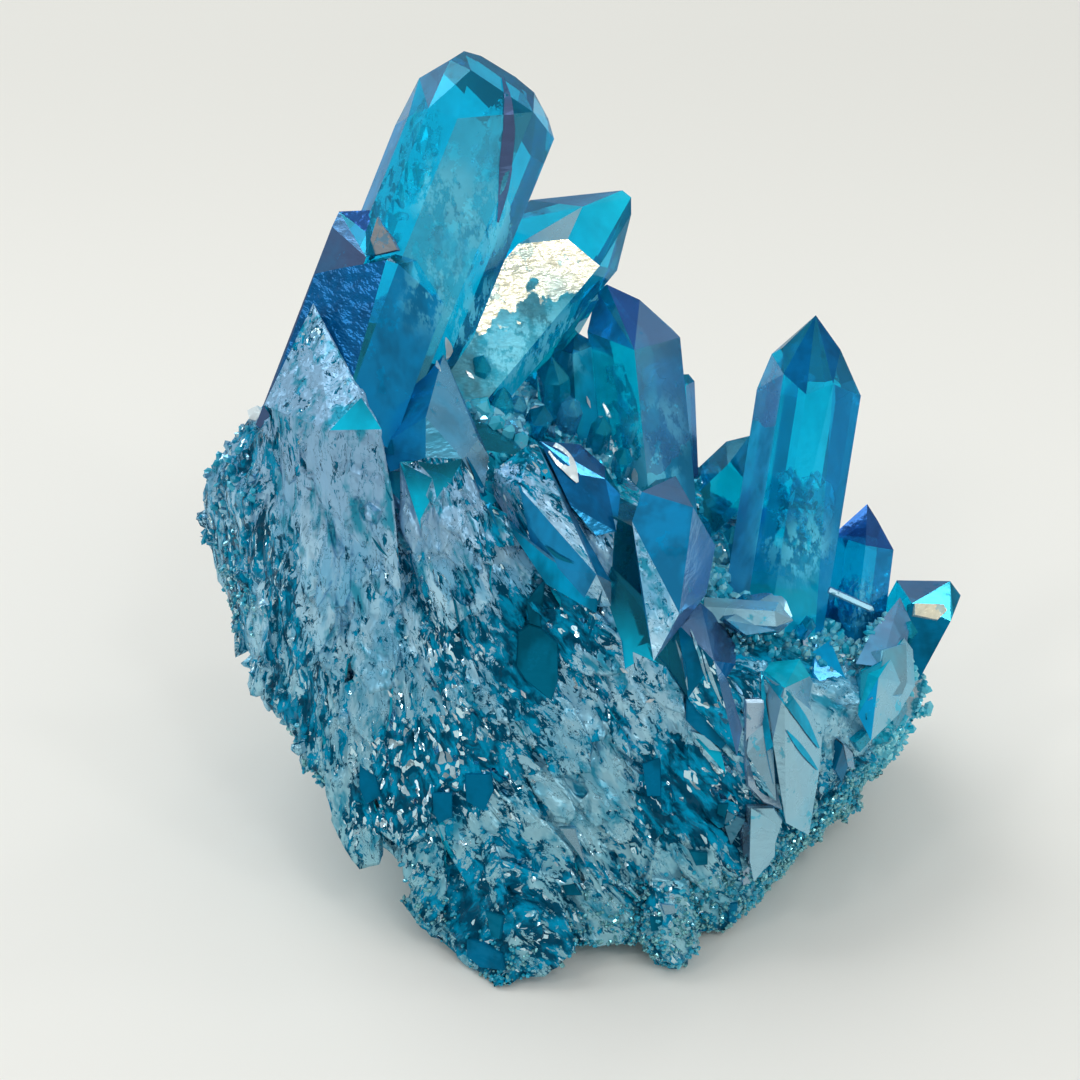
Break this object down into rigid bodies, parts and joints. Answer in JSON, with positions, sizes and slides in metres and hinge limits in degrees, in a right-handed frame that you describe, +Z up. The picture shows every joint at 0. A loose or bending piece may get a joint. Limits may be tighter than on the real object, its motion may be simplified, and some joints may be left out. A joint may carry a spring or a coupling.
{
  "type": "quartz crystal cluster",
  "caption": "Aqua-blue coated quartz cluster: long six-sided points grown from a broken, druse-covered root with a flat cut to rest on.",
  "frame": {"origin": "middle of the bounding box, on the flat cut that the cluster rests on", "axes": "+Z up, +X to the right and +Y away for someone who faces the broken front"},
  "size_m": [0.0802, 0.0626, 0.0804],
  "materials": {
    "aura_quartz": "vitreous, with a thin metallic aqua film"
  },
  "bodies": {
    "root": {"quartz_cluster": "aura_quartz"}
  },
  "joints": []
}
